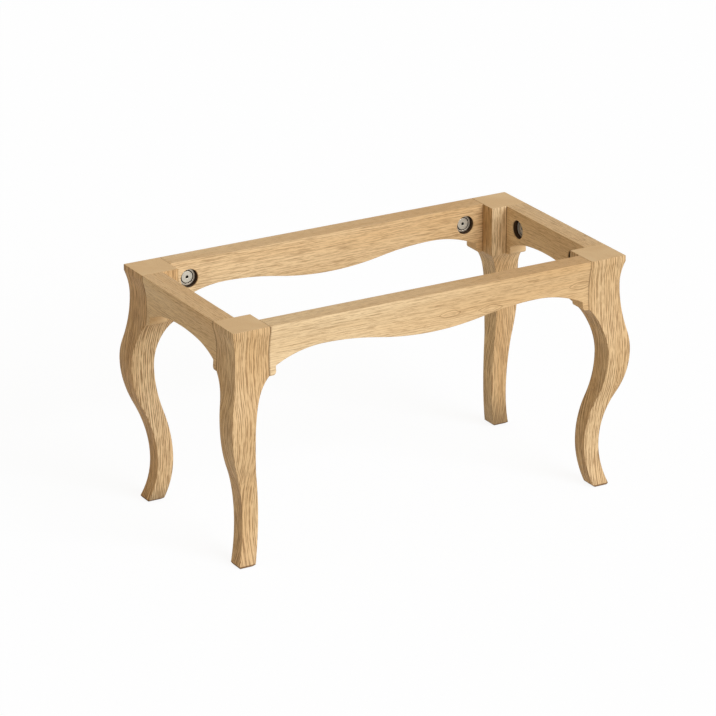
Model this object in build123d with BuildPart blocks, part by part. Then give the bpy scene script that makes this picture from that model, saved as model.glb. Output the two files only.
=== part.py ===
"""Bench frame: four S-curved legs, four shaped rails and the connectors that draw them together.

Millimetres, +Z up. The origin is on the floor under the middle of the frame, with X along the long side
and the front at -Y. An inset is measured inwards from the outer plane of the leg posts on that side, a
drop is measured down from the top of the frame.
"""

import os

from build123d import *

os.makedirs("parts", exist_ok=True)

# Overall size, between the outer top corners of the posts
frame_length = 800.0
frame_depth = 410.0
frame_height = 448.0

# Leg: a square post at the top, sawn below it to one S curve of arcs in two planes
post_size = 72.6
post_drop = 93.0
lip_height = 11.0
waist_inset = 7.1
waist_drop = 54.6
knee_bulge = 8.4
knee_drop = 179.7
ankle_inset = 29.8
ankle_height = 81.0
toe_inset = 14.4
foot_width = 33.0
foot_chamfer = 4.0

# Back line of the same S curve, on the inner side of the leg
back_ankle_inset = 61.6
back_ankle_height = 86.0
back_knee_inset = 38.2
back_knee_drop = 189.0
back_throat_inset = 54.5
back_throat_drop = 117.8

# Share of the way between two bends at which a curve turns over
calf_turn = 0.545
throat_turn = 0.3
even_turn = 0.5

# Rails: coved outside like the posts, flat inside, with an ear at each end of the lower edge
rail_inset = 41.0
shoulder_drop = 76.3
ear_width = 14.0
ear_radius = 7.0
long_centre_drop = 73.7
long_thin_drop = 53.0
long_thin_from_post = 110.4
short_centre_drop = 53.1
short_haunch_drop = 57.4
short_haunch_from_post = 71.8

# Connector pocket near each end of each rail, bored from the inner face
pocket_diameter = 35.0
pocket_depth = 24.5
pocket_drop = 35.0
pocket_from_post = 38.2
fit_gap = 0.1

# Housing cup and the key-turned cam in it, both set back from the mouth of the pocket
connector_recess = 9.5
housing_floor = 2.5
housing_window = 10.0
cam_diameter = 25.0
cam_seat = 5.0
key_width = 5.0
key_depth = 2.4

# Connecting bolt, with its head hooked in the cam and its thread in the post
bolt_depth = 16.5
bolt_bore = 10.0
bolt_diameter = 6.0
bolt_thread_length = 14.0
bolt_head = 8.0
bolt_head_length = 3.4

# Loose tenon below each bolt, clear of the bolt bore and of the shoulder by the same margin
tenon_thickness = 10.0
tenon_length = 36.0
tenon_margin = 8.0

# Outer plane of each side: X along the rail, Y up, Z outwards
sides = {
    "front": Plane((0, -frame_depth / 2, 0), x_dir=(1, 0, 0), z_dir=(0, -1, 0)),
    "back": Plane((0, frame_depth / 2, 0), x_dir=(-1, 0, 0), z_dir=(0, 1, 0)),
    "left": Plane((-frame_length / 2, 0, 0), x_dir=(0, -1, 0), z_dir=(-1, 0, 0)),
    "right": Plane((frame_length / 2, 0, 0), x_dir=(0, 1, 0), z_dir=(1, 0, 0)),
}

# The side met at each end of a side, by direction along it
neighbours = {
    "front": {-1: "left", 1: "right"},
    "back": {-1: "right", 1: "left"},
    "left": {-1: "back", 1: "front"},
    "right": {-1: "front", 1: "back"},
}


def half_span(side):
    """Half the clear length between the posts on one side."""
    full = frame_length if side in ("front", "back") else frame_depth
    return full / 2 - post_size


def section_plane(side):
    """Plane across one side, with X as the inset and Y as the height."""
    outer = sides[side]
    return Plane(outer.origin, x_dir=-outer.z_dir, z_dir=outer.x_dir)


def joint_plane(side, end, drop, inset):
    """Plane on the post's joint face at one end of a side, facing from the post into the rail."""
    outer = sides[side]
    spot = outer.from_local_coords((end * half_span(side), frame_height - drop, -inset))
    return Plane(spot, x_dir=outer.z_dir, z_dir=outer.x_dir * -end)


def bolt_axis(side, end):
    """Joint plane at a bolt."""
    return joint_plane(side, end, pocket_drop, rail_inset - bolt_depth)


def pocket_mouth(side, end):
    """Plane on a rail's inner face at a pocket, with X towards the post and Z out of the pocket."""
    outer = sides[side]
    along = end * (half_span(side) - pocket_from_post)
    spot = outer.from_local_coords((along, frame_height - pocket_drop, -rail_inset))
    return Plane(spot, x_dir=outer.x_dir * end, z_dir=-outer.z_dir)


def ogee(start, end, heading, turn):
    """Two arcs that leave one bend and arrive at the next on the same heading, turning over between."""
    middle = Vector(*start) + (Vector(*end) - Vector(*start)) * turn
    first = TangentArc(start, middle, tangent=heading)
    TangentArc(middle, end, tangent=first % 1)


def outer_curve():
    """Outer line of a leg from the floor to the top, which is also the cove of the rails."""
    ankle = (ankle_inset, ankle_height)
    knee = (-knee_bulge, frame_height - knee_drop)
    waist = (waist_inset, frame_height - waist_drop)
    lip = (0, frame_height - lip_height)
    TangentArc(ankle, (toe_inset, 0), tangent=(0, -1))
    ogee(ankle, knee, (0, 1), calf_turn)
    ogee(knee, waist, (0, 1), throat_turn)
    TangentArc(waist, lip, tangent=(0, 1))
    Line(lip, (0, frame_height))


def back_curve(toe, post_foot):
    """Inner line of a leg from the floor to the foot of its post."""
    ankle = (back_ankle_inset, back_ankle_height)
    knee = (back_knee_inset, frame_height - back_knee_drop)
    throat = (back_throat_inset, frame_height - back_throat_drop)
    TangentArc(ankle, toe, tangent=(0, -1))
    ogee(ankle, knee, (0, 1), even_turn)
    rise = TangentArc(knee, throat, tangent=(0, 1))
    TangentArc(throat, post_foot, tangent=rise % 1)


def leg_profile(side):
    """The S profile of a leg, drawn across one side of the frame."""
    toe = (toe_inset + foot_width, 0)
    post_foot = (post_size, frame_height - post_drop)
    with BuildSketch(section_plane(side)) as profile:
        with BuildLine():
            outer_curve()
            back_curve(toe, post_foot)
            Polyline((0, frame_height), (post_size, frame_height), post_foot)
            Line(toe, (toe_inset, 0))
        make_face()
    return profile.sketch


def cove_profile(side):
    """Section of a rail at its start, long enough to reach past its lower edge."""
    with BuildSketch(section_plane(side).offset(-half_span(side))) as profile:
        with BuildLine():
            outer_curve()
            Polyline((0, frame_height), (rail_inset, frame_height), (rail_inset, 0), (toe_inset, 0))
        make_face()
    return profile.sketch


def long_edge(shoulder):
    """Half of the wave under a long rail, from its middle to the shoulder."""
    centre = (0, frame_height - long_centre_drop)
    thin = (half_span("front") - long_thin_from_post, frame_height - long_thin_drop)
    ogee(centre, thin, (1, 0), even_turn)
    TangentArc(thin, shoulder, tangent=(1, 0))


def short_edge(shoulder):
    """Half of the arch under a short rail, from its middle to the shoulder."""
    centre = (0, frame_height - short_centre_drop)
    haunch = (half_span("left") - short_haunch_from_post, frame_height - short_haunch_drop)
    crown = TangentArc(centre, haunch, tangent=(1, 0))
    TangentArc(haunch, shoulder, tangent=crown % 1)


def rail_outline(side):
    """Elevation of a rail, with the shaped lower edge between its two ears."""
    end = half_span(side)
    ear = end - ear_width
    ear_bottom = frame_height - post_drop
    shoulder = (ear, frame_height - shoulder_drop)
    round_start = (ear, ear_bottom + ear_radius)
    round_end = (ear + ear_radius, ear_bottom)
    with BuildSketch(sides[side]) as outline:
        with BuildLine():
            if side in ("front", "back"):
                long_edge(shoulder)
            else:
                short_edge(shoulder)
            Line(shoulder, round_start)
            JernArc(round_start, tangent=(0, -1), radius=ear_radius, arc_size=90)
            Polyline(round_end, (end, ear_bottom), (end, frame_height), (0, frame_height))
            mirror(about=Plane.YZ)
        make_face()
    return outline.sketch


def rod(plane, diameter, start, length, mode=Mode.ADD):
    """Straight round stretch along a plane's normal."""
    with BuildSketch(plane.offset(start)) as disc:
        Circle(diameter / 2)
    extrude(disc.sketch, amount=length, mode=mode)


def bar(plane, width, height, start, length, mode=Mode.ADD):
    """Straight rectangular stretch along a plane's normal."""
    with BuildSketch(plane.offset(start)) as face:
        Rectangle(width, height)
    extrude(face.sketch, amount=length, mode=mode)


tenon_top = pocket_drop + bolt_bore / 2 + tenon_margin
tenon_bottom = shoulder_drop - tenon_margin
tenon_height = tenon_bottom - tenon_top


def tenon_axis(side, end):
    """Joint plane at a loose tenon, midway through the rail."""
    return joint_plane(side, end, (tenon_top + tenon_bottom) / 2, (waist_inset + rail_inset) / 2)


def mortise(side, end, direction):
    """Half of a tenon's slot, cut into the rail (1) or into the post (-1)."""
    bar(tenon_axis(side, end), tenon_thickness + 2 * fit_gap, tenon_height + 2 * fit_gap,
        0, direction * (tenon_length / 2 + fit_gap), Mode.SUBTRACT)


# Legs: the same S profile is sawn from the side and from the front, then the post is bored for its joints
for row in ("front", "back"):
    for hand in ("left", "right"):
        name = f"{row}_{hand}_leg"
        with BuildPart() as leg:
            extrude(leg_profile(row), amount=frame_length, both=True)
            extrude(leg_profile(hand), amount=frame_length, both=True, mode=Mode.INTERSECT)
            chamfer(leg.faces().sort_by(Axis.Z)[0].edges(), foot_chamfer)
            for side, other in ((row, hand), (hand, row)):
                for end, neighbour in neighbours[side].items():
                    if neighbour == other:
                        rod(bolt_axis(side, end), bolt_diameter + 2 * fit_gap,
                            0, -bolt_thread_length - fit_gap, Mode.SUBTRACT)
                        mortise(side, end, -1)
        leg.part.label = name
        export_step(leg.part, f"parts/{name}.step")

# Rails: the elevation cut through, trimmed to the coved section, then bored
for side in sides:
    name = f"{side}_rail"
    with BuildPart() as rail:
        extrude(rail_outline(side), amount=-rail_inset)
        extrude(cove_profile(side), amount=2 * half_span(side), mode=Mode.INTERSECT)
        for end in neighbours[side]:
            rod(pocket_mouth(side, end), pocket_diameter, 0, -pocket_depth, Mode.SUBTRACT)
            rod(bolt_axis(side, end), bolt_bore, 0, pocket_from_post, Mode.SUBTRACT)
            mortise(side, end, 1)
    rail.part.label = name
    export_step(rail.part, f"parts/{name}.step")

# Connectors of each rail: a cup in each pocket, and in it a cam with a side slot for the bolt and its head
cam_floor = housing_floor - pocket_depth
cam_height = -cam_floor - connector_recess
for side in sides:
    name = f"{side}_rail_housings"
    with BuildPart() as housings:
        for end in neighbours[side]:
            mouth = pocket_mouth(side, end)
            rod(mouth, pocket_diameter - 2 * fit_gap, -pocket_depth, pocket_depth - connector_recess)
            rod(mouth, cam_diameter + 2 * fit_gap, cam_floor, pocket_depth, Mode.SUBTRACT)
            bar(bolt_axis(side, end), housing_window, housing_window, 0, pocket_from_post, Mode.SUBTRACT)
    housings.part.label = name
    export_step(housings.part, f"parts/{name}.step")

    name = f"{side}_rail_cams"
    with BuildPart() as cams:
        for end in neighbours[side]:
            mouth = pocket_mouth(side, end)
            rod(mouth, cam_diameter, cam_floor, cam_height)
            for diameter, start, length in (
                (bolt_diameter, cam_seat, cam_diameter),
                (bolt_head, cam_seat - bolt_head_length - 2 * fit_gap, bolt_head_length + 2 * fit_gap),
            ):
                slot = diameter + 2 * fit_gap
                with BuildSketch(mouth.offset(-bolt_depth - slot / 2)) as side_slot:
                    with Locations((start, -slot / 2)):
                        Rectangle(length, cam_diameter, align=(Align.MIN, Align.MIN))
                extrude(side_slot.sketch, amount=slot, mode=Mode.SUBTRACT)
            with BuildSketch(mouth.offset(-connector_recess)) as key_hole:
                RegularPolygon(key_width / 2, 6, major_radius=False)
            extrude(key_hole.sketch, amount=-key_depth, mode=Mode.SUBTRACT)
    cams.part.label = name
    export_step(cams.part, f"parts/{name}.step")

# Bolts and loose tenons of each rail
head_start = pocket_from_post - cam_seat + fit_gap
for side in sides:
    name = f"{side}_rail_bolts"
    with BuildPart() as bolts:
        for end in neighbours[side]:
            rod(bolt_axis(side, end), bolt_diameter, -bolt_thread_length, bolt_thread_length + head_start)
            rod(bolt_axis(side, end), bolt_head, head_start, bolt_head_length)
    bolts.part.label = name
    export_step(bolts.part, f"parts/{name}.step")

    name = f"{side}_rail_tenons"
    with BuildPart() as tenons:
        for end in neighbours[side]:
            bar(tenon_axis(side, end), tenon_thickness, tenon_height, -tenon_length / 2, tenon_length)
    tenons.part.label = name
    export_step(tenons.part, f"parts/{name}.step")
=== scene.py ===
"""Oak bench frame: procedural oak on the legs and rails, metal in the connectors, and the photo's view.

Metres, in the frame's own axes: +Z up, X along the long side and the front at -Y.
"""

import math
from types import SimpleNamespace

import bmesh
import bpy
from mathutils import Matrix, Vector


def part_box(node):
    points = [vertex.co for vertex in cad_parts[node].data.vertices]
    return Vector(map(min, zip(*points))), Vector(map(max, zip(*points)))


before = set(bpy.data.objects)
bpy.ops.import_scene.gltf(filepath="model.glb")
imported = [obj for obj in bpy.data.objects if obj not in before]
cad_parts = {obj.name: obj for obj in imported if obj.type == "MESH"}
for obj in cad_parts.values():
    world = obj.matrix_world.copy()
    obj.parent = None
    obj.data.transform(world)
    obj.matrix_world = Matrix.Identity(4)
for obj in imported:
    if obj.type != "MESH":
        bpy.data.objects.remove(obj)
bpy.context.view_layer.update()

# Camera: where it stands, what it looks at, and its lens and sensor in millimetres
camera_place = Vector((-3.4671, -5.9251, 2.8967))
camera_aim = Vector((-0.0242, 0.0205, 0.2574))
camera_lens = 205.15
sensor_width = 36.0

# Light: a soft key from the front and a little to the right, and an even surround
key_direction = Vector((0.31, -1.0, 0.45))
key_strength = 2.34
key_spread = math.radians(42.0)
key_colour = (0.88, 0.93, 1.0)
surround_strength = 0.45
surround_colour = (1.0, 0.83, 0.60)

# Floor: its glow and its matt colour to the camera, and its colour for the light that it throws back
floor_size = 40.0
floor_glow = 0.90
floor_matt = (0.130, 0.142, 0.163, 1.0)
floor_colour = (0.72, 0.70, 0.66, 1.0)
white = (1.0, 1.0, 1.0, 1.0)

# Edges: how far the arrises of wood and metal are eased
wood_ease = 0.0011
metal_ease = 0.0006
ease_segments = 2
sharp_angle = math.radians(30.0)
weld_distance = 0.00001
join_distance = 0.00005

# Recesses: how many rays look for what hides a spot
hidden_rays = 8

# Connectors: a collar stands up round each cam, with a groove between them, a gap outside and a keyhole
groove_inner = 0.0112
collar_outer = 0.0166
ring_clear = 0.020
groove_depth = 0.003
gap_depth = 0.006
ring_sides = 96
keyhole_radius = 0.0027
keyhole_depth = 0.004
keyhole_sides = 24


class Nodes:
    """The nodes of a material or a world under construction, with short calls for those that it uses."""

    def __init__(self, owner):
        self.owner = owner
        owner.use_nodes = True
        self.tree = owner.node_tree
        self.tree.nodes.clear()

    def add(self, kind, inputs=None, **settings):
        """A node, with its settings and then its inputs by name or place, each a value or a socket."""
        node = self.tree.nodes.new("ShaderNode" + kind)
        for key, value in settings.items():
            setattr(node, key, value)
        for key, value in (inputs or {}).items():
            if isinstance(value, bpy.types.NodeSocket):
                self.tree.links.new(value, node.inputs[key])
            else:
                node.inputs[key].default_value = value
        return node

    def calc(self, operation, *values):
        return self.add("Math", dict(enumerate(values)), operation=operation).outputs[0]

    def times(self, first, *others):
        for other in others:
            first = self.calc("MULTIPLY", first, other)
        return first

    def step(self, value, low, high):
        """0 below low, 1 above high, and a smooth rise between them."""
        inputs = {"Value": value, "From Min": low, "From Max": high}
        return self.add("MapRange", inputs, interpolation_type="SMOOTHSTEP").outputs[0]

    def fall(self, value, low, high):
        """1 below low, 0 above high, and a smooth fall between them."""
        return self.calc("SUBTRACT", 1.0, self.step(value, low, high))

    def noise(self, place, detail=2.0, roughness=0.5):
        """Smooth noise at a place that is already scaled, centred on one half."""
        inputs = {"Vector": place, "Scale": 1.0, "Detail": detail, "Roughness": roughness}
        return self.add("TexNoise", inputs).outputs[0]

    def mix(self, factor, first, second):
        inputs = {"Factor": factor, 6: first, 7: second}
        return self.add("Mix", inputs, data_type="RGBA").outputs[2]

    def hidden(self, reach, dark, light):
        """How hidden a spot is by what stands within reach of it: 0 in the open, 1 deep in a recess."""
        finder = self.add("AmbientOcclusion", {"Distance": reach}, samples=hidden_rays)
        return self.fall(finder.outputs["AO"], dark, light)

    def seen(self):
        """1 for rays that show a thing, straight or mirrored, and 0 for those that light others."""
        rays = self.add("LightPath").outputs
        mirrored = self.calc("MAXIMUM", rays["Is Glossy Ray"], rays["Is Transmission Ray"])
        return self.calc("MAXIMUM", rays["Is Camera Ray"], mirrored)

    def vector(self, x, y, z):
        return self.add("CombineXYZ", {0: x, 1: y, 2: z}).outputs[0]

    def scaled(self, vector, factor):
        inputs = {0: vector, 1: (factor,) * 3}
        return self.add("VectorMath", inputs, operation="MULTIPLY").outputs[0]

    def finish(self, shader, output="OutputMaterial"):
        self.add(output, {"Surface": shader.outputs[0]})
        return self.owner


def srgb(red, green, blue):
    """A colour written as 0 to 255, as a linear one."""
    levels = (c / 255 for c in (red, green, blue))
    return tuple(c / 12.92 if c <= 0.04045 else ((c + 0.055) / 1.055) ** 2.4 for c in levels) + (1.0,)


# Oak colours
oak_pale = srgb(240, 213, 170)
oak_warm = srgb(219, 181, 130)
oak_line = srgb(140, 103, 63)
oak_pore = srgb(132, 92, 50)
# Colour of the painted shade in creases and on foot chamfers, and of the dark joint lines
oak_crease_shade = srgb(104, 68, 34)
# Colour of the painted shade on the walls of the pockets
oak_pocket_shade = srgb(52, 30, 14)
# Colour of the painted shade towards the floor on the feet
oak_foot_shade = srgb(94, 78, 56)

# Faces: how far a normal leans as a face turns to the other axis, to end grain and to a level face
turn_span = (-0.1, 0.1)
end_span = (0.8, 0.97)
level_span = (0.5, 0.9)

# Tone: where it changes along each axis, that of end grain, and the slow clouds in it. Waves, here and
# below, are to the metre, across the grain and along it, and a span is where a value turns from 0 to 1
# On the legs the change at the post is partly painted shade of its inner corners
tone_spans = {"X": (-0.28, 0.28), "Y": (-0.16, 0.16), "Z": (0.32, 0.38)}
end_tone = 0.25
cloud_waves = (26.0, 3.0)
cloud_span = (0.3, 0.7)
cloud_share = 0.4

# Wander of the grain: waves, and how far it goes
wanders = (((9.0, 3.0), 0.012), ((70.0, 11.0), 0.002))
seed_along = 3.7
seed_turned = 5.3

# Lines of the rings, in spacings: how they start and fade, and how they break up along the grain
ring_randomness = 0.65
line_start = (-0.2, -0.1)
line_fade = (0.02, 0.3)
break_across = 0.9
break_along = 36.0
break_span = (0.35, 0.56)

# Pores: dashes, fine pores, and the dots that end grain has instead
dash_waves = (420.0, 22.0)
dash_span = (0.53, 0.66)
dash_roughness = 0.6
pore_waves = (1300.0, 60.0)
pore_span = (0.55, 0.68)
pore_share = 0.4
dot_waves = 700.0
dot_span = (0.58, 0.72)
dot_share = 0.6

# Figures: how far the grain parts about one, how ragged it is, the size and depth of its loops, and
# where the lines of the rings come back
figure_parting = 0.6
ragged_waves = (150.0, 60.0)
ragged_reach = 0.9
figure_loops = ((1.0, 1.0), (0.35, 0.6))
loop_line = (0.03, 0.22)
loop_share = 0.5
calm_span = (0.6, 1.5)

# Painted shade in creases, on foot chamfers and on pocket walls, and dark joint lines that are partly
# painted
# shade: how far they reach, how softly they end and how dark they are
crease_shade_reach = 0.0025
crease_shade_span = (0.5, 0.95)
crease_shade_level = 0.1
crease_shade_upright = 0.25
joint_reach = 0.004
joint_share = 0.55
foot_height = 0.0048
chamfer_shade_share = 0.75
mark_blur = 0.0005
middle_blur = 0.002
clean_rim = 0.0025
pocket_shade_span = (0.0002, 0.0007)
pocket_shade_share = 0.95

# Surface of the oak
oak_bump = {"Strength": 0.3, "Distance": 0.0003}
line_relief = -0.5
pore_relief = -1.0
oak_roughness = 0.55
pore_roughness = 0.2
oak_specular = 0.25


def by_grain(n, vector, along):
    """A vector's two parts across the grain, then the one along it."""
    parts = n.add("SeparateXYZ", {0: vector}).outputs
    return [parts[axis] for axis in "XYZ".replace(along, "") + along]


def rail_marks(n, rail, u, v, w, upright):
    """The dark joint line at the outer ends of a rail, partly painted shade of the gap, and painted
    shade on the walls of its pockets.
    """
    u, w = n.calc("ABSOLUTE", u), n.calc("ABSOLUTE", w)
    # The joint line: a dark joint at the rail's outer ends, with painted shade of the gap in it
    near_end = n.step(w, rail.half_length - joint_reach, rail.half_length - mark_blur)
    outer = n.step(u, rail.middle - middle_blur, rail.middle + middle_blur)
    joint = n.times(near_end, outer, upright, joint_share)

    # Painted shade on the walls of each pocket, from just inside its rim
    off_axis = n.vector(n.calc("SUBTRACT", w, rail.out), n.calc("SUBTRACT", v, rail.height), 0.0)
    off_axis = n.add("VectorMath", {0: off_axis}, operation="LENGTH").outputs["Value"]
    past_middle = n.calc("ABSOLUTE", n.calc("SUBTRACT", u, (rail.start + rail.end) / 2))
    past_end = n.calc("SUBTRACT", past_middle, (rail.end - rail.start) / 2)
    outside = n.calc("MAXIMUM", n.calc("SUBTRACT", off_axis, rail.radius), past_end)
    return joint, n.fall(outside, *pocket_shade_span)


def oak(name, along, seed, spacing, line, dash, tones_and_shade, faces, figures=(), rail=None, foot=None):
    """Oak with straight grain along one axis: lines about a spacing apart, and pore dashes between them.

    Line and dash are how dark these are. Tones are two pairs, for the low and the high end, and faces is
    one pair, the strength of the lines and dashes. In each pair the first value is for the faces across
    the first of the other two axes, and the second for the rest. The tones are the wood's own and, on
    the
    legs, also painted shade: darker inner corners at the post, and faces darker or lighter as light
    falls on them. A figure is an eye that the lines go round: its place along and across the grain, and
    its reach both ways. Rail is what pockets() gives, for a rail, whose pocket walls get painted shade
    and whose outer ends have a dark joint line, partly painted shade of the gap. Foot is for a leg, with
    painted shade towards the floor: how high, and how much, as a pair for the same faces.
    """
    n = Nodes(bpy.data.materials.new(name))
    spot = n.add("TexCoord").outputs
    u, v, w = by_grain(n, spot["Object"], along)
    facing_u, facing_v, facing_w = [
        n.calc("ABSOLUTE", part) for part in by_grain(n, spot["Normal"], along)
    ]
    turned = n.step(n.calc("SUBTRACT", facing_u, facing_v), *turn_span)
    across = n.calc("MULTIPLY_ADD", turned, n.calc("SUBTRACT", v, u), u)
    side_grain = n.fall(facing_w, *end_span)
    facing_up = n.calc("ABSOLUTE", n.add("SeparateXYZ", {0: spot["Normal"]}).outputs["Z"])
    upright = n.fall(facing_up, *level_span)

    def by_face(first, second):
        return n.calc("MULTIPLY_ADD", turned, first - second, second)

    def grain_noise(place, waves, detail=2.0, roughness=0.5):
        """Noise drawn out along the grain, with its own pattern on the turned faces."""
        x = n.calc("MULTIPLY_ADD", place, waves[0], seed)
        y = n.calc("MULTIPLY", turned, seed_turned)
        z = n.calc("MULTIPLY_ADD", w, waves[1], seed_along * seed)
        return n.noise(n.vector(x, y, z), detail, roughness)

    clear = n.times(side_grain, by_face(*faces))

    # The grain wanders a little, and parts about each figure
    grain = across
    for waves, reach in wanders:
        grain = n.calc("MULTIPLY_ADD", grain_noise(across, waves), reach, grain)
    loops, calm = 0.0, 1.0
    for centre_w, centre, reach_w, reach in figures:
        x = n.calc("DIVIDE", n.calc("SUBTRACT", w, centre_w), reach_w)
        y = n.calc("DIVIDE", n.calc("SUBTRACT", across, centre), reach)
        spread = n.calc("MULTIPLY_ADD", x, x, n.calc("ABSOLUTE", y))
        near = n.calc("EXPONENT", n.times(spread, spread, -0.5))
        grain = n.calc("MULTIPLY_ADD", n.times(y, near), -figure_parting * reach, grain)
        centred = n.calc("SUBTRACT", spread, ragged_reach / 2)
        ragged = n.calc("MULTIPLY_ADD", grain_noise(across, ragged_waves), ragged_reach, centred)
        for loop_size, depth in figure_loops:
            off_loop = n.calc("ABSOLUTE", n.calc("SUBTRACT", ragged, loop_size))
            loop = n.calc("MULTIPLY_ADD", n.step(off_loop, *loop_line), -depth, depth)
            loops = n.calc("MAXIMUM", loops, loop)
        calm = n.times(calm, n.step(ragged, *calm_span))

    # Lines of the rings: crisp on one side, fading on the other, and broken along their length
    ring_place = n.calc("MULTIPLY_ADD", grain, 1.0 / spacing, seed)
    ring_inputs = {"W": ring_place, "Scale": 1.0, "Randomness": ring_randomness}
    ring = n.add("TexVoronoi", ring_inputs, voronoi_dimensions="1D").outputs
    past = n.calc("SUBTRACT", ring_place, ring["W"])
    unbroken = n.step(grain_noise(grain, (break_across / spacing, break_along)), *break_span)
    lines = n.times(n.step(past, *line_start), n.fall(past, *line_fade), unbroken, clear, calm)

    # Pores: dashes and fine pores on side grain, and dots on end grain
    dashes = n.step(grain_noise(grain, dash_waves, roughness=dash_roughness), *dash_span)
    dashes = n.times(dashes, clear)
    pores = n.times(n.step(grain_noise(grain, pore_waves, detail=1.0), *pore_span), side_grain)
    dots = n.step(n.noise(n.scaled(n.vector(u, v, 0.0), dot_waves), detail=1.0), *dot_span)
    dots_here = n.calc("MULTIPLY_ADD", side_grain, -dot_share, dot_share)
    pores = n.calc("MULTIPLY_ADD", dots, dots_here, pores)

    # Tone: from end to end and face to face, on the legs partly painted shade of corners and faces, and
    # slow clouds
    low, high = [by_face(*pair) for pair in tones_and_shade]
    tone = n.calc("MULTIPLY_ADD", n.step(w, *tone_spans[along]), n.calc("SUBTRACT", high, low), low)
    tone = n.calc("MULTIPLY_ADD", n.calc("SUBTRACT", tone, end_tone), side_grain, end_tone)
    clouds = n.step(grain_noise(grain, cloud_waves), *cloud_span)
    tone = n.calc("MULTIPLY_ADD", clouds, cloud_share, tone)

    # Painted shade: creases, towards the floor, foot chamfers, pocket walls; joint lines dark and partly
    # shade
    # Painted shade in creases, stronger on upright faces
    crease_shade_share = n.calc("MULTIPLY_ADD", upright, crease_shade_upright, crease_shade_level)
    crease_shade = n.times(n.hidden(crease_shade_reach, *crease_shade_span), crease_shade_share)
    foot_shade, pocket_shade = 0.0, 0.0
    if foot:
        foot_shade_height, foot_shade_shares = foot
        # Painted shade towards the floor, more on some faces than others
        foot_shade = n.times(n.fall(w, 0.0, foot_shade_height), by_face(*foot_shade_shares))
        # Painted shade on the foot chamfer, which faces the floor
        chamfer_shade = n.fall(w, foot_height - mark_blur, foot_height + mark_blur)
        crease_shade = n.calc("MAXIMUM", crease_shade, n.times(chamfer_shade, chamfer_shade_share))
    if rail:
        joint, pocket_shade = rail_marks(n, rail, u, v, w, upright)
        crease_shade = n.calc("MAXIMUM", crease_shade, joint)

    colour = n.mix(tone, oak_pale, oak_warm)
    colour = n.mix(n.times(lines, line), colour, oak_line)
    colour = n.mix(n.times(dashes, dash), colour, oak_line)
    colour = n.mix(n.times(loops, clear, loop_share), colour, oak_line)
    colour = n.mix(n.times(pores, pore_share), colour, oak_pore)
    colour = n.mix(foot_shade, colour, oak_foot_shade)
    colour = n.mix(crease_shade, colour, oak_crease_shade)
    colour = n.mix(n.times(pocket_shade, pocket_shade_share), colour, oak_pocket_shade)
    relief = n.calc("MULTIPLY_ADD", lines, line_relief, n.times(pores, pore_relief))
    return n.finish(n.add("BsdfPrincipled", {
        "Base Color": colour,
        "Roughness": n.calc("MULTIPLY_ADD", pores, pore_roughness, oak_roughness),
        "Specular IOR Level": oak_specular,
        "Normal": n.add("Bump", {**oak_bump, "Height": relief}).outputs[0],
    }))


# Metal: its mottle, and painted shade in its recesses
mottle_detail = 4.0
mottle_roughness = 0.6
spot_span = (0.45, 0.7)
spot_share = 0.6
spot_roughness = 0.15
metal_bump = {"Strength": 0.25, "Distance": 0.0002}
metal_recess_shade = srgb(34, 26, 18)
recess_shade_reach = 0.006
recess_shade_span = (0.35, 0.85)


def metal(name, colour, dark, roughness, waves):
    """Satin metal with a mottle of this many waves to the metre, and darker, rougher spots."""
    n = Nodes(bpy.data.materials.new(name))
    place = n.add("TexCoord").outputs["Object"]
    mottle = n.noise(n.scaled(place, waves), mottle_detail, mottle_roughness)
    spots = n.step(mottle, *spot_span)
    tone = n.mix(n.times(spots, spot_share), colour, dark)
    return n.finish(n.add("BsdfPrincipled", {
        # Painted shade in the recesses: the keyhole, the groove and the gap
        "Base Color": n.mix(n.hidden(recess_shade_reach, *recess_shade_span), tone, metal_recess_shade),
        "Metallic": 1.0,
        "Roughness": n.calc("MULTIPLY_ADD", spots, spot_roughness, roughness),
        "Normal": n.add("Bump", {**metal_bump, "Height": mottle}).outputs[0],
    }))


def connector_axes(low, high):
    """From the box of a rail's connectors: the axis along the rail, the one through it and a radius."""
    along = 0 if high[0] - low[0] > high[1] - low[1] else 1
    return along, 1 - along, (high[2] - low[2]) / 2


def pockets(name):
    """Where painted shade goes on the walls of a rail's pockets, and where the rail ends.

    Lengths are from the middle of the frame: out to the axis of a pocket, along the rail; to the start
    and the end of its shaded wall, through the rail; and to the rail's end and its middle plane.
    """
    low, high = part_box(f"{name}_housings")
    along, through, radius = connector_axes(low, high)
    rail_low, rail_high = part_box(name)
    return SimpleNamespace(
        out=high[along] - radius,
        height=(low[2] + high[2]) / 2,
        radius=radius,
        start=min(abs(rail_low[through]), abs(rail_high[through])) + clean_rim,
        end=max(abs(low[through]), abs(high[through])),
        half_length=rail_high[along],
        middle=abs(rail_low[through] + rail_high[through]) / 2,
    )


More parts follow.
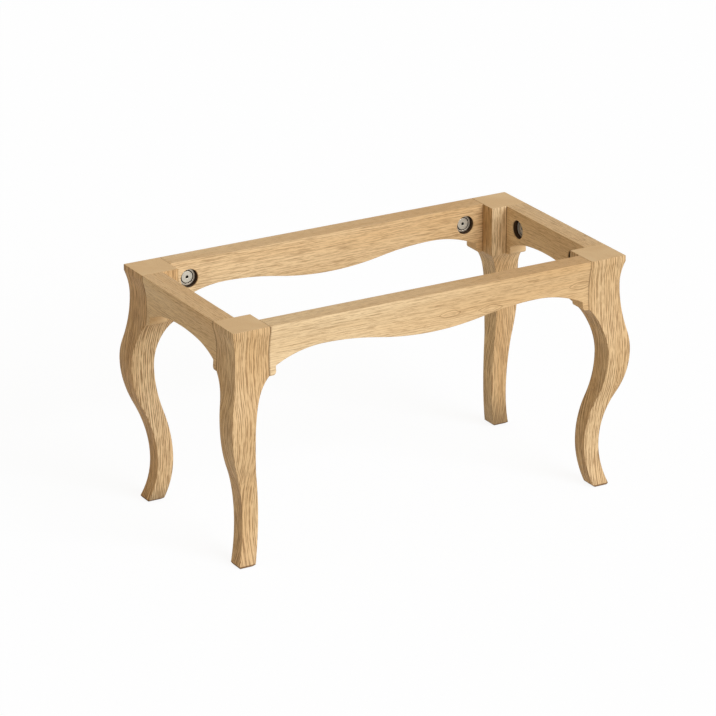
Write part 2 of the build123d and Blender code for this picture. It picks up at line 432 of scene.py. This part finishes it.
def ring_cutter(name, inner, outer, depth, keyhole=0.0):
    """A cutter for a rail's connectors: a ring this deep from the face of each cam, and a keyhole."""
    low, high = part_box(f"{name}_cams")
    along, through, cam_radius = connector_axes(low, high)
    height = (low[2] + high[2]) / 2
    face = min(low[through], high[through], key=abs)
    into_rail = math.copysign(1.0, face)

    def spot(centre, radius, angle, level):
        place = [0.0, 0.0, height + radius * math.sin(angle)]
        place[along] = centre + radius * math.cos(angle)
        place[through] = face + into_rail * level
        return place

    bm = bmesh.new()
    corners = ((inner, depth), (outer, depth), (outer, -depth), (inner, -depth))
    angles = [2 * math.pi * turn / ring_sides for turn in range(ring_sides)]
    for centre in (low[along] + cam_radius, high[along] - cam_radius):
        rows = [
            [bm.verts.new(spot(centre, radius, angle, level)) for angle in angles]
            for radius, level in corners
        ]
        for row, after in zip(rows, rows[1:] + rows[:1]):
            for turn in range(ring_sides):
                beyond = (turn + 1) % ring_sides
                bm.faces.new((row[turn], row[beyond], after[beyond], after[turn]))
        if keyhole:
            axis = Vector((0.0, 0.0, 0.0))
            axis[through] = 1.0
            turned = axis.to_track_quat("Z", "Y").to_matrix().to_4x4()
            middle = Vector(spot(centre, 0.0, 0.0, 0.0))
            bmesh.ops.create_cone(
                bm, cap_ends=True, segments=keyhole_sides, radius1=keyhole, radius2=keyhole,
                depth=2 * keyhole_depth, matrix=Matrix.Translation(middle) @ turned)
    bmesh.ops.recalc_face_normals(bm, faces=bm.faces)
    mesh = bpy.data.meshes.new(f"{name}_ring_cutter")
    bm.to_mesh(mesh)
    bm.free()
    cutter = bpy.data.objects.new(mesh.name, mesh)
    bpy.context.scene.collection.objects.link(cutter)
    cutter.hide_render = True
    cutter.hide_viewport = True
    return cutter


def dress(name, material, ease, cutter=None):
    """Give a CAD node its material, turn down its rim with a cutter and ease its arrises."""
    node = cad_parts[name]
    for slot in node.material_slots:
        slot.link = "OBJECT"
        slot.material = material
    weld = node.modifiers.new("weld", "WELD")
    weld.merge_threshold = weld_distance
    if cutter:
        rim = node.modifiers.new("rim", "BOOLEAN")
        rim.object = cutter
        join = node.modifiers.new("join", "WELD")
        join.merge_threshold = join_distance
    bevel = node.modifiers.new("ease", "BEVEL")
    bevel.width = ease
    bevel.segments = ease_segments
    bevel.limit_method = "ANGLE"
    bevel.angle_limit = sharp_angle
    bevel.use_clamp_overlap = False
    bevel.loop_slide = False
    node.modifiers.new("smooth", "WEIGHTED_NORMAL")


# Legs
leg_grain = dict(along="Z", spacing=0.0038, line=1.0, dash=0.6)
# Each leg's tones are its wood's own and partly painted shade of corners and faces; its foot entry
# paints shade towards the floor
legs = {
    "front_left_leg": dict(
        seed=18.0, tones_and_shade=((0.35, 0.45), (0.15, 0.55)), faces=(0.95, 0.92),
        foot=(0.020, (0.0, 0.08))),
    "front_right_leg": dict(
        seed=25.0, tones_and_shade=((0.3, 0.35), (0.3, 0.4)), faces=(0.95, 1.0),
        foot=(0.020, (0.0, 0.12))),
    "back_left_leg": dict(
        seed=32.0, tones_and_shade=((0.7, 0.15), (0.8, 1.0)), faces=(1.3, 1.1),
        foot=(0.040, (0.0, 0.50))),
    "back_right_leg": dict(
        seed=39.0, tones_and_shade=((-0.3, 0.65), (1.0, -0.1)), faces=(0.95, 0.9),
        foot=(0.090, (0.15, 0.54))),
}
for name, look in legs.items():
    dress(name, oak(f"{name}_oak", **leg_grain, **look), wood_ease)

# Rails, with the figure seen on the front one
front_figures = (
    (0.036, 0.401, 0.022, 0.0065),
    (0.121, 0.396, 0.026, 0.0060),
    (0.310, 0.405, 0.026, 0.0065),
)
rail_spacing = 0.0043
rails = {
    "front_rail": dict(
        along="X", seed=3.0, line=0.27, dash=0.36,
        tones_and_shade=((-0.13, 0.0), (0.67, 0.8)), faces=(1.0, 0.8), figures=front_figures),
    "back_rail": dict(
        along="X", seed=17.0, line=0.40, dash=0.45,
        tones_and_shade=((0.13, 0.2), (0.53, 0.6)), faces=(1.0, 0.4)),
    "left_rail": dict(
        along="Y", seed=23.0, line=0.34, dash=0.42,
        tones_and_shade=((0.3, 0.45), (-0.05, 0.45)), faces=(0.66, 0.75)),
    "right_rail": dict(
        along="Y", seed=29.0, line=0.4, dash=0.5,
        tones_and_shade=((0.15, 0.35), (0.15, 0.35)), faces=(0.6, 0.9)),
}
for name, look in rails.items():
    dress(name, oak(f"{name}_oak", spacing=rail_spacing, rail=pockets(name), **look), wood_ease)

# Connectors
housing_zinc = metal(
    "housing_zinc_cast", srgb(204, 192, 174), srgb(130, 118, 102), roughness=0.42, waves=700.0)
cam_nickel = metal(
    "cam_nickel_satin", srgb(206, 199, 184), srgb(148, 139, 125), roughness=0.38, waves=900.0)
bolt_steel = metal(
    "bolt_zinc_plate", srgb(190, 190, 186), srgb(130, 130, 126), roughness=0.35, waves=800.0)
tenon_beech = oak(
    "tenon_beech", along="Z", seed=41.0, spacing=0.004, line=0.1, dash=0.2,
    tones_and_shade=((0.2, 0.2), (0.2, 0.2)), faces=(1.0, 1.0))
for name in rails:
    housing_cutter = ring_cutter(name, collar_outer, ring_clear, gap_depth)
    dress(f"{name}_housings", housing_zinc, metal_ease, housing_cutter)
    cam_cutter = ring_cutter(name, groove_inner, ring_clear, groove_depth, keyhole_radius)
    dress(f"{name}_cams", cam_nickel, metal_ease, cam_cutter)
    dress(f"{name}_bolts", bolt_steel, metal_ease)
    dress(f"{name}_tenons", tenon_beech, metal_ease)

# Floor
half = floor_size / 2
floor_corners = [(-half, -half, 0), (half, -half, 0), (half, half, 0), (-half, half, 0)]
floor_mesh = bpy.data.meshes.new("floor")
floor_mesh.from_pydata(floor_corners, [], [(0, 1, 2, 3)])
floor = bpy.data.objects.new("floor", floor_mesh)
bpy.context.scene.collection.objects.link(floor)
n = Nodes(bpy.data.materials.new("floor_white"))
seen = n.seen()
glow = n.add("Emission", {"Color": white, "Strength": n.times(seen, floor_glow)})
matt = n.add("BsdfDiffuse", {"Color": n.mix(seen, floor_colour, floor_matt)})
floor_shader = n.add("AddShader", {0: glow.outputs[0], 1: matt.outputs[0]})
floor_mesh.materials.append(n.finish(floor_shader))

# Surround: white to the camera, and a plain level for the light
n = Nodes(bpy.data.worlds.new("surround"))
surround_level = tuple(surround_strength * part for part in surround_colour) + (1.0,)
background = n.add("Background", {"Color": n.mix(n.seen(), surround_level, white)})
bpy.context.scene.world = n.finish(background, "OutputWorld")

# Key light
key = bpy.data.objects.new("key", bpy.data.lights.new("key", "SUN"))
key.data.energy = key_strength
key.data.color = key_colour
key.data.angle = key_spread
key.rotation_euler = key_direction.to_track_quat("Z", "Y").to_euler()
bpy.context.scene.collection.objects.link(key)

# Camera
camera = bpy.data.objects.new("camera", bpy.data.cameras.new("camera"))
camera.data.lens = camera_lens
camera.data.sensor_width = sensor_width
camera.location = camera_place
camera.rotation_euler = (camera_aim - camera_place).to_track_quat("-Z", "Y").to_euler()
bpy.context.scene.collection.objects.link(camera)
bpy.context.scene.camera = camera
bpy.context.scene.view_settings.view_transform = "Standard"
